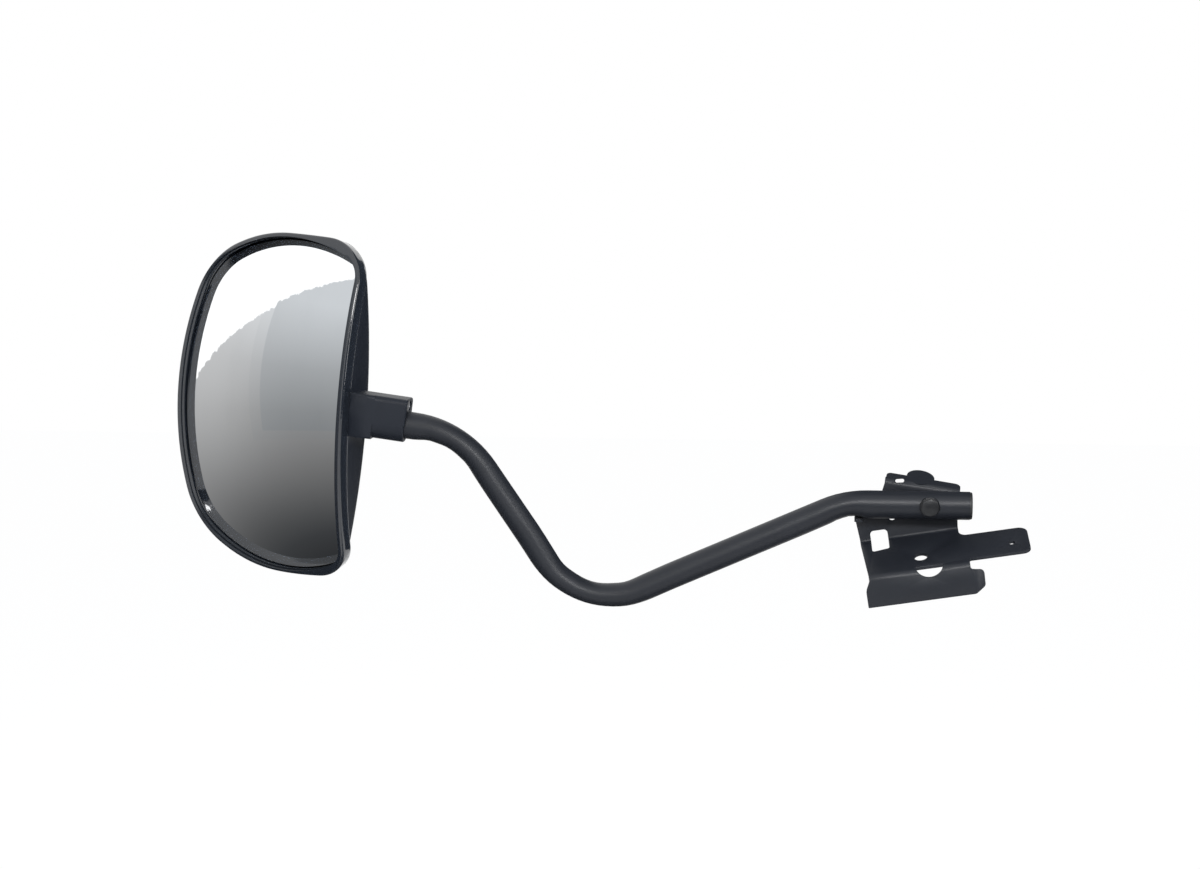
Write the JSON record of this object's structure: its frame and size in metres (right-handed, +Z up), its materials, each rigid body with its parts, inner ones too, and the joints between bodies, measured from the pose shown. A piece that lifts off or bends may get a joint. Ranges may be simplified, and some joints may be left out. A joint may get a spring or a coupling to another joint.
{
  "type": "vehicle exterior mirror on tube arm",
  "caption": "Exterior mirror for a commercial vehicle: convex D-shaped glass in a moulded head, clamped to a bent tube arm that pivots on a pressed steel bracket.",
  "frame": {"origin": "centre of the bracket's main fixing hole, on the underside of the sloping shelf", "axes": "+X along the arm away from the mirror head, +Y rearwards so that the glass looks towards -Y, +Z up"},
  "size_m": [0.6901, 0.1298, 0.2939],
  "materials": {
    "powder_black": "satin powder coat",
    "shell_black": "fine grained satin",
    "bezel_black": "polished",
    "mirror": "polished",
    "fastener_black": "black zinc",
    "fastener_zinc": "bright zinc",
    "carrier_grey": "moulded",
    "cap_black": "moulded",
    "bush_polymer": "moulded",
    "adhesive_foam": "foam"
  },
  "bodies": {
    "bracket": {"bracket_plate": "powder_black", "pivot_bolt": "fastener_black", "pivot_nut": "fastener_black", "rear_washer": "fastener_black", "spring_washer": "fastener_black", "friction_washer": "bush_polymer"},
    "arm": {"arm_tube": "powder_black", "pivot_bush": "bush_polymer", "tube_end_cap": "cap_black", "tube_inner_plug": "cap_black"},
    "head": {"head_shell": "shell_black", "bezel": "bezel_black", "mirror_glass": "mirror", "glass_adhesive": "adhesive_foam", "glass_carrier": "carrier_grey", "carrier_screws": "fastener_zinc", "clamp_wedge": "fastener_zinc", "clamp_nut": "fastener_zinc", "clamp_washer": "fastener_zinc", "clamp_screw": "fastener_zinc"}
  },
  "joints": [
    {"name": "arm_fold", "type": "hinge", "parent": "bracket", "child": "arm", "pos_m": [0.00628, 0.01816, 0.03965], "axis": [0, 1, 0], "range_deg": [0, 18]},
    {"name": "head_turn", "type": "hinge", "parent": "arm", "child": "head", "pos_m": [-0.40542, 0.01816, 0.09738], "axis": [0.991, 0, -0.134], "range_deg": [-35, 35]}
  ]
}
